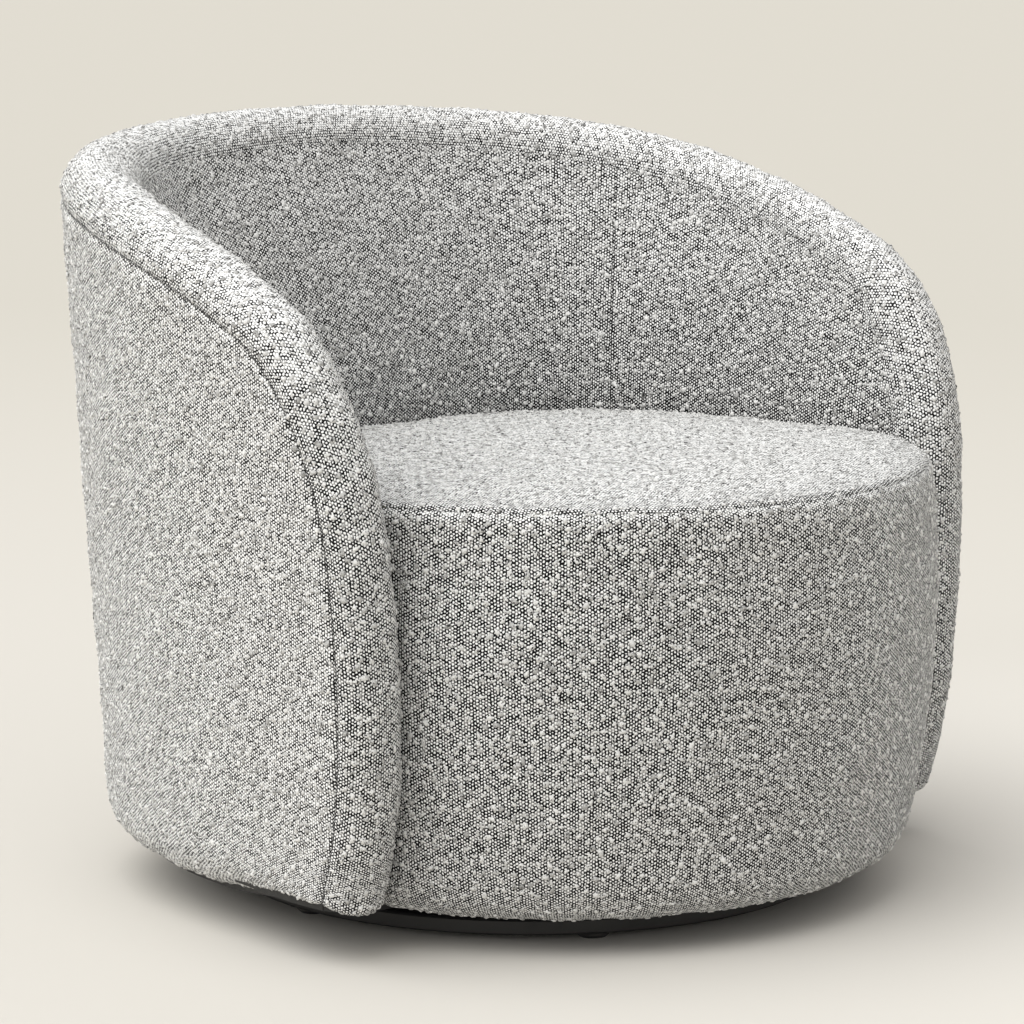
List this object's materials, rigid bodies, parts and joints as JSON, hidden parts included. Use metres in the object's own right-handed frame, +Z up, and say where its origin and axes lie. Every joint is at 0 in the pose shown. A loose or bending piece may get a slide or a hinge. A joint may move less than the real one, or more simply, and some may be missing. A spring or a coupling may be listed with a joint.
{
  "type": "swivel tub chair",
  "caption": "Upholstered tub chair: a curved arm-and-back shell wraps a round seat, and the whole body turns on a hidden swivel base.",
  "frame": {"origin": "on the floor under the swivel axis, which is also the middle of the part's outline in plan", "axes": "+Z up along the swivel axis, +Y to the back of the chair, +X to the left of someone sitting in the chair"},
  "size_m": [0.8448, 0.7982, 0.7219],
  "materials": {
    "boucle": "looped black and off-white yarn, matt",
    "seat_foam": "cut polyurethane foam",
    "wadding": "polyester wadding",
    "webbing": "woven elastic webbing",
    "dust_cloth": "black spunbonded cloth",
    "frame_timber": "sawn and planed, bare",
    "plywood": "bent plywood, bare",
    "black_board": "board painted satin black",
    "glide_plastic": "matt black",
    "cage_plastic": "natural nylon",
    "pressed_steel": "zinc plated",
    "screw_steel": "zinc plated",
    "ball_steel": "polished"
  },
  "bodies": {
    "base": {"glides": "glide_plastic", "glide_screws": "screw_steel", "base_disc": "black_board", "lower_swivel_plate": "pressed_steel", "lower_plate_screws": "screw_steel", "pivot_rivet": "pressed_steel"},
    "ball_bearing": {"ball_cage": "cage_plastic", "bearing_balls": "ball_steel"},
    "tub": {"upper_swivel_plate": "pressed_steel", "upper_plate_screws": "screw_steel", "bottom_board": "plywood", "dust_cover": "dust_cloth", "plinth_ring": "frame_timber", "plinth_screws": "screw_steel", "back_posts": "frame_timber", "arm_front_posts": "frame_timber", "top_rail": "frame_timber", "front_posts": "frame_timber", "seat_cleats": "frame_timber", "seat_ring": "plywood", "seat_ring_screws": "screw_steel", "deep_straps": "webbing", "cross_straps": "webbing", "back_straps": "webbing", "outer_panel": "plywood", "front_panel": "plywood", "outer_padding": "wadding", "front_padding": "wadding", "roll_foam": "wadding", "inside_back_foam": "seat_foam", "inside_arm_foam_left": "seat_foam", "inside_arm_foam_right": "seat_foam", "seat_foam": "seat_foam", "outside_cover": "boucle", "band_cover": "boucle", "inside_back_cover": "boucle", "inside_arm_cover_left": "boucle", "inside_arm_cover_right": "boucle", "front_cover": "boucle", "seat_top_cover": "boucle"}
  },
  "joints": [
    {"name": "swivel", "type": "hinge", "parent": "base", "child": "tub", "pos_m": [0, 0, 0.028], "axis": [0, 0, 1], "continuous": true},
    {"name": "cage_turn", "type": "hinge", "parent": "base", "child": "ball_bearing", "pos_m": [0, 0, 0.028], "axis": [0, 0, 1], "continuous": true}
  ],
  "couplings": [
    {"joint": "cage_turn", "follows": "swivel", "ratio": 0.5}
  ]
}
